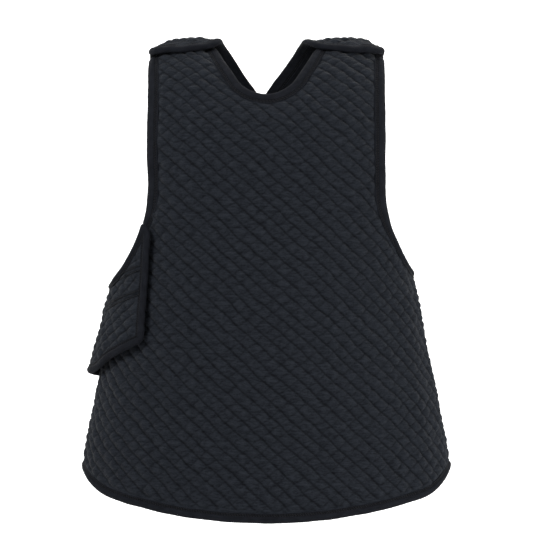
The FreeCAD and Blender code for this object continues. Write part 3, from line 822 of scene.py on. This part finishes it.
def quilted(cloth):
    """Marled knit: short sideways streaks and fine courses, with painted shade in the creases and in the
    stitched grooves.
    """
    crease_bump_and_shade = cloth.noise((0.085, 0.22, 0), 1.0)
    streak = cloth.noise((0.16, 0.55, 0), 1.0)
    fine = cloth.noise((0.5, 1.2, 0), 2.0)
    mixed = cloth.calc("MULTIPLY_ADD", fine, 0.34, cloth.calc("MULTIPLY", streak, 0.36))
    # painted shade: the crease noise also lightens the colour on the crease tops and darkens it in the
    # creases
    mixed = cloth.calc("MULTIPLY_ADD", crease_bump_and_shade, 0.30, mixed)
    pillow = pillows(cloth)
    # painted shade: the colour is darker in the stitched grooves between the pillows
    shade = cloth.calc("MULTIPLY_ADD", pillow, 0.50, 0.50)
    # painted shade along the pressed rows that hold the hook tape
    shade = cloth.calc("MULTIPLY", shade, cloth.calc("MULTIPLY_ADD", cloth.third, -0.7, 1.0))
    cloth.colour(mixed, (0.0086, 0.0105, 0.0143), (0.0232, 0.0272, 0.0350), (0.38, 0.62), shade)
    courses = cloth.calc("SINE", cloth.calc("MULTIPLY", cloth.v, 2 * math.pi / 0.9))
    wales = cloth.calc("SINE", cloth.calc("MULTIPLY", cloth.u, 2 * math.pi / 1.1))
    knit = cloth.calc("MULTIPLY", courses, wales)
    height = cloth.calc("MULTIPLY_ADD", knit, 0.10, mixed)
    height = cloth.calc("MULTIPLY_ADD", pillow, 0.55, height)
    height = cloth.calc("MULTIPLY_ADD", crease_bump_and_shade, 1.4, height)
    cloth.bump(height, 0.0011, 0.9)


def needle_shade(cloth):
    """Painted shade in the binding's two needle-line grooves, by their inward distance."""
    middle, apart = 7.7, 0.75
    off = cloth.calc("ABSOLUTE", cloth.calc("SUBTRACT", cloth.third, middle))
    off = cloth.calc("ABSOLUTE", cloth.calc("SUBTRACT", off, apart))
    clear = cloth.calc("MINIMUM", cloth.calc("MULTIPLY", off, 1.35), 1.0)
    return cloth.calc("MULTIPLY_ADD", clear, 0.78, 0.22)


def woven(dark, light, pitch, distance, sewn=False):
    """A fine twill. Sewn tape also has painted shade in its needle-line grooves."""
    def build(cloth):
        diagonal = cloth.calc("MULTIPLY", cloth.calc("ADD", cloth.u, cloth.v), 2 * math.pi / pitch)
        diagonal = cloth.calc("SINE", diagonal)
        cloud = cloth.noise((0.12, 0.2, 0))
        fine = cloth.noise((1.6, 1.6, 0))
        mixed = cloth.calc("MULTIPLY_ADD", fine, 0.5, cloth.calc("MULTIPLY", cloud, 0.5))
        # painted shade in the sewn tape's needle-line grooves
        cloth.colour(mixed, dark, light, shade=needle_shade(cloth) if sewn else None)
        cloth.bump(cloth.calc("MULTIPLY_ADD", diagonal, 0.35, fine), distance, 0.7)
    return build


def pile(cloth):
    """The fuzz of hook and loop tape."""
    fuzz = cloth.noise((2.4, 2.4, 0), 4.0)
    cloth.colour(fuzz, (0.0035, 0.0037, 0.0046), (0.0125, 0.0130, 0.0155))
    cloth.bump(fuzz, 0.0012)


MATT = {"Sheen_Weight": 0.02, "Sheen_Roughness": 0.4, "Specular_IOR_Level": 0.07}
QUILT = new_material("quilted_cloth", (0.018, 0.021, 0.028), 0.9, quilted,
                     Sheen_Weight=0.08, Sheen_Roughness=0.4, Specular_IOR_Level=0.08)
TAPE_CLOTH = new_material("binding_tape", (0.014, 0.013, 0.017), 0.72,
                          woven((0.0054, 0.0062, 0.0087), (0.0132, 0.0149, 0.0202), 0.8, 0.0003, sewn=True),
                          **MATT)
LINING = new_material("lining_cloth", (0.008, 0.008, 0.011), 0.7,
                      woven((0.0042, 0.0048, 0.0066), (0.0090, 0.0102, 0.0136), 0.7, 0.00015), **MATT)
THREAD = new_material("thread", (0.0050, 0.0050, 0.0065), 0.6, Specular_IOR_Level=0.3)
HOOKS = new_material("hook_tape", (0.010, 0.010, 0.012), 0.6, pile, Specular_IOR_Level=0.12)
LOOPS = new_material("loop_tape", (0.012, 0.012, 0.014), 0.9, pile,
                     Sheen_Weight=0.03, Sheen_Roughness=0.5, Specular_IOR_Level=0.08)


# -------- the panels

def around(surface, x, v):
    """U at which the surface has this x, on the front side of the body."""
    us = np.arange(surface.us[0], surface.us[-1], 0.5)
    p = surface.at(us, np.full(us.shape, float(v)))
    ahead = p[:, 1] < 5
    return float(us[ahead][np.argmin(np.abs(p[ahead, 0] - x))])


def over_top(surface, x, y):
    """U and V of the place at this x and depth, over the shoulder from the surface's own side."""
    p = surface.at(surface.us, np.full(surface.us.shape, CHEST))
    own = p[:, 1] * surface.facing > 0
    u = float(surface.us[own][np.argmin(np.abs(p[own, 0] - x))])
    vs = np.arange(500, surface.vs[-1], 0.5)
    p = surface.at(np.full(vs.shape, u), vs)
    return u, float(vs[np.argmin(np.abs(p[:, 1] - y))])


def front_unbound(points, loop):
    """Where the front's outline runs along the side seam."""
    return (points[:, 0] > 0) & (points[:, 1] > SEAM_Y - 1.5) & (loop[:, 1] < SEAM_TOP)


def back_unbound(points, loop):
    """Where the back's outline runs along the side seam."""
    return (points[:, 0] > 0) & (points[:, 1] < SEAM_Y + 2.5) & (loop[:, 1] < SEAM_TOP)


# x and height at both ends of the two pairs of rows that hold the flap's hook tape
FLAP_ROW_ENDS = ((-183, 281, -146, 300), (-183, 286, -146, 305),
                 (-189, 252, -146, 272), (-189, 257, -146, 277))
FLAP_ROWS = [((around(back, x0, z0), z0), (around(back, x1, z1), z1)) for x0, z0, x1, z1 in FLAP_ROW_ENDS]

# U, V, width, height and how far out: the flap's tip stands out and the tabs' ends are pressed in
TIP_KICK = (around(back, -211, 188), 178, 26, 22, 5.0)
TAB_KICKS = [(*over_top(back, x, TAB_END), 48, 13, -2.6) for x in (-TAB_X, TAB_X)]

front_panel = Panel(front, front_field, front_unbound, seed=10, crossing=0.66)
back_panel = Panel(back, back_field, back_unbound, seed=40, crossing=0.85,
                   kicks=[TIP_KICK] + TAB_KICKS, presses=FLAP_ROWS)

FRONT_PARTS = {
    "front": (lambda u, v, x: np.full(u.shape, True), "vest"),
}
BACK_PARTS = {
    "back": (lambda u, v, x: (u > FLAP_SPLIT) & (v < TAB_SPLIT), "vest"),
    "flap": (lambda u, v, x: (u < FLAP_SPLIT) & (v < TAB_SPLIT), "flap"),
    "left_tab": (lambda u, v, x: (v > TAB_SPLIT) & (x < 0), "left_tab"),
    "right_tab": (lambda u, v, x: (v > TAB_SPLIT) & (x > 0), "right_tab"),
}


def dressed(panel, parts):
    """The quilted face and the lining of a panel, in the parts that move apart."""
    faces = panel.cloth({f"{part}_quilting": (where, BODIES[body], "quilted_cloth", QUILT)
                         for part, (where, body) in parts.items()}, False, 2.0)
    linings = panel.cloth({f"{part}_lining_cloth": (where, BODIES[body], "lining_cloth", LINING)
                           for part, (where, body) in parts.items()}, True, 2.5)
    for part in parts:
        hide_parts(f"{part}_outer_shell", f"{part}_wadding")
        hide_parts(f"{part}_lining")


# -------- bindings and stitching

# inward distance, height, and 1 for the outside or -1 for the inside of the tape
STITCHES = [(8.45, -0.66, 1), (6.95, -0.62, 1), (7.7, -6.15, -1)]
REGIONS = ("vest", "flap", "left_tab", "right_tab")
VEST, FLAP, LEFT_TAB, RIGHT_TAB = range(4)
BACK_EDGES = [(VEST, "back_right_armhole"), (RIGHT_TAB, "right_tab"), (VEST, "back_neck"),
              (LEFT_TAB, "left_tab"), (VEST, "back_left_armhole"), (FLAP, "flap"), (VEST, "back_hem")]


def bind_front():
    piece = binding(front_panel, "front_edge_binding", front_panel.edge, "vest")
    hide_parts("front_hem_binding", "front_wrap_edge_binding", "front_left_armhole_binding",
                "front_right_armhole_binding", "neckline_binding")
    thread(front_panel, "front_edge_stitches", front_panel.edge, "vest", STITCHES)


def bind_back():
    """The back's bound edge, in the parts that move apart."""
    u, v = back_panel.edge.T
    tabs = np.where(back.at(u, v)[:, 0] < 0, LEFT_TAB, RIGHT_TAB)
    region = np.where((u < FLAP_SPLIT) & (v < 450), FLAP, np.where(v > TAB_SPLIT, tabs, VEST))
    starts = np.flatnonzero(np.diff(region, prepend=-1))
    ends = np.append(starts[1:], len(region))
    assert list(region[starts]) == [edge[0] for edge in BACK_EDGES], "the back's outline has changed"
    for (place, part), start, end in zip(BACK_EDGES, starts, ends):
        path, body = back_panel.edge[start:end + 1], BODIES[REGIONS[place]]
        piece = binding(back_panel, f"{part}_edge", path, body)
        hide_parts(f"{part}_binding")
        thread(back_panel, f"{part}_stitches", path, body, STITCHES)


def sew_flap_rows():
    """The rows of stitching that hold the flap's hook tape."""
    for number, ends in enumerate(FLAP_ROWS):
        line = even(ends, 2.0, closed=False)
        thread(back_panel, f"flap_row_{number + 1}", line, BODIES["flap"], [(0, 0.15, 1)])


# sections of the tapes over the right side seam, as distance from the seam and height
SEAM_STEP = 2.0
COVER = [(-7, -1.9), (-6.8, -0.8), (-6, -0.5), (-2, -0.35), (2, -0.35), (6, -0.5), (6.8, -0.8), (7, -1.9),
         (5, -2.6), (-5, -2.6)]
LINER = [(-12, -5.6), (-11.8, -6.9), (-6, -7.4), (6, -7.4), (11.8, -6.9), (12, -5.6), (6, -5.2), (-6, -5.2)]
COVER_STITCHES = [(-4.6, -0.35, 1), (4.6, -0.35, 1)]
LINER_STITCHES = [(-9, -7.25, -1), (9, -7.25, -1)]


def seam_line():
    """The right side seam on the front panel, found by halving."""
    levels = np.arange(24.0, 294.0, SEAM_STEP)
    low, high = np.full(levels.shape, 150.0), np.full(levels.shape, 330.0)
    for _ in range(30):
        middle = (low + high) / 2
        ahead = front.at(middle, levels)[:, 1] < SEAM_Y
        low, high = np.where(ahead, middle, low), np.where(ahead, high, middle)
    seam = np.stack([(low + high) / 2, levels], 1)
    return seam[front_field(seam[:, 0] - 6, seam[:, 1]) > 3]


def seam_tape(name, seam, profile, rows):
    rings = front_panel.sweep(seam, profile)
    run = np.arange(len(seam)) * SEAM_STEP
    across = np.array([[distance for distance, _ in profile]])
    cloth = np.stack(np.broadcast_arrays(run[:, None], across, 0.0), -1)
    piece = new_mesh(name, rings, tube(rings), "vest", TAPE_CLOTH, cloth)
    thread(front_panel, name + "_stitches", seam, "vest", rows)
    return piece


def tape_side_seam():
    """A flat tape over the two panels' edges, outside and inside."""
    seam = seam_line()
    seam_tape("side_seam_cover", seam, COVER, COVER_STITCHES)
    piece = seam_tape("side_seam_liner", seam, LINER, LINER_STITCHES)
    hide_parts("side_seam_tape")


# -------- hook and loop tape

FLAP_PATCH_X, FLAP_PATCH_Z = (-178, -150), (250.0, 275.0)
TAB_PATCH_X, TAB_PATCH_Y = (77, 119), (-22, -2)
TAB_PATCH_MIDDLE = 98


def loop_patch(name, u_range, v_range):
    return patch(front_panel, name, u_range, v_range, -1.4, 1.5, "vest", LOOPS)


def hook_patch(name, u_range, v_range, body):
    return patch(back_panel, name, u_range, v_range, -5.0, -7.7, BODIES[body], HOOKS)


def flap_place(surface):
    middle = 262
    return sorted(around(surface, x, middle) for x in FLAP_PATCH_X), FLAP_PATCH_Z


def tab_place(surface, mark):
    across = sorted(over_top(surface, mark * x, 0)[0] for x in TAB_PATCH_X)
    along = sorted(over_top(surface, mark * TAB_PATCH_MIDDLE, y)[1] for y in TAB_PATCH_Y)
    return across, along


def sew_closures():
    """Hook tape inside the flap and the tabs, and loop tape on the front panel."""
    piece = loop_patch("front_flap_loop_patch", *flap_place(front))
    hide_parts("front_flap_loop_tape")
    piece = hook_patch("flap_hook_patch", *flap_place(back), "flap")
    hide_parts("flap_hook_tape")
    for side, mark in (("left", -1), ("right", 1)):
        piece = loop_patch(f"front_{side}_tab_loop_patch", *tab_place(front, mark))
        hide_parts(f"front_{side}_tab_loop_tape")
        piece = hook_patch(f"{side}_tab_hook_patch", *tab_place(back, mark), f"{side}_tab")
        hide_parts(f"{side}_tab_hook_tape")


# -------- floor, light and camera, in metres

WHITE = (1, 1, 1, 1)
MIDDLE = (0, 0, -0.2541)  # of the object
SENSOR = 36  # in millimetres
CAMERA_DISTANCE = 2.5
VIEW_WIDTH = 0.634  # seen at the middle of the object


def plane(name, size, at, turn=(0, 0, 0), glow=0.0):
    half = size / 2
    mesh = bpy.data.meshes.new(name)
    corners = [(-half, -half, 0), (half, -half, 0), (half, half, 0), (-half, half, 0)]
    mesh.from_pydata(corners, [], [(0, 1, 2, 3)])
    mesh.materials.append(new_material(name, (0.9, 0.9, 0.9), 0.9, Emission_Color=WHITE,
                                       Emission_Strength=glow))
    item = new_object(name, mesh)
    item.location, item.rotation_euler = at, turn


def lamp(name, size, power, at):
    """A square lamp that points at the middle of the object."""
    data = bpy.data.lights.new(name, "AREA")
    data.shape, data.size, data.energy = "SQUARE", size, power
    item = new_object(name, data)
    item.location = at
    direction = Vector(MIDDLE) - Vector(at)
    item.rotation_euler = direction.to_track_quat("-Z", "Y").to_euler()


def light_studio():
    plane("floor", 30, (0, 0, -1.25))
    plane("backdrop", 12, (0, 4.2, 2.0), (math.pi / 2, 0, 0), 1.0)
    lamp("key", 0.9, 39, (-1.35, -1.45, 1.15))
    lamp("fill", 1.6, 34, (2.2, -0.7, -0.2))
    lamp("top", 1.2, 10, (0.2, 0.2, 2.0))
    world = bpy.data.worlds.new("studio")
    world.use_nodes = True
    sky = world.node_tree.nodes["Background"]
    sky.inputs["Color"].default_value = WHITE
    sky.inputs["Strength"].default_value = 0.3
    bpy.context.scene.world = world
    bpy.context.scene.view_settings.view_transform = "Standard"


def place_camera():
    lens = bpy.data.cameras.new("camera")
    lens.sensor_width = SENSOR
    lens.lens = SENSOR * CAMERA_DISTANCE / VIEW_WIDTH
    camera = new_object("camera", lens)
    camera.location = (0, -CAMERA_DISTANCE, MIDDLE[2])
    camera.rotation_euler = (math.pi / 2, 0, 0)
    bpy.context.scene.camera = camera


# -------- build

dressed(front_panel, FRONT_PARTS)
dressed(back_panel, BACK_PARTS)
bind_front()
bind_back()
sew_flap_rows()
tape_side_seam()
sew_closures()
light_studio()
place_camera()
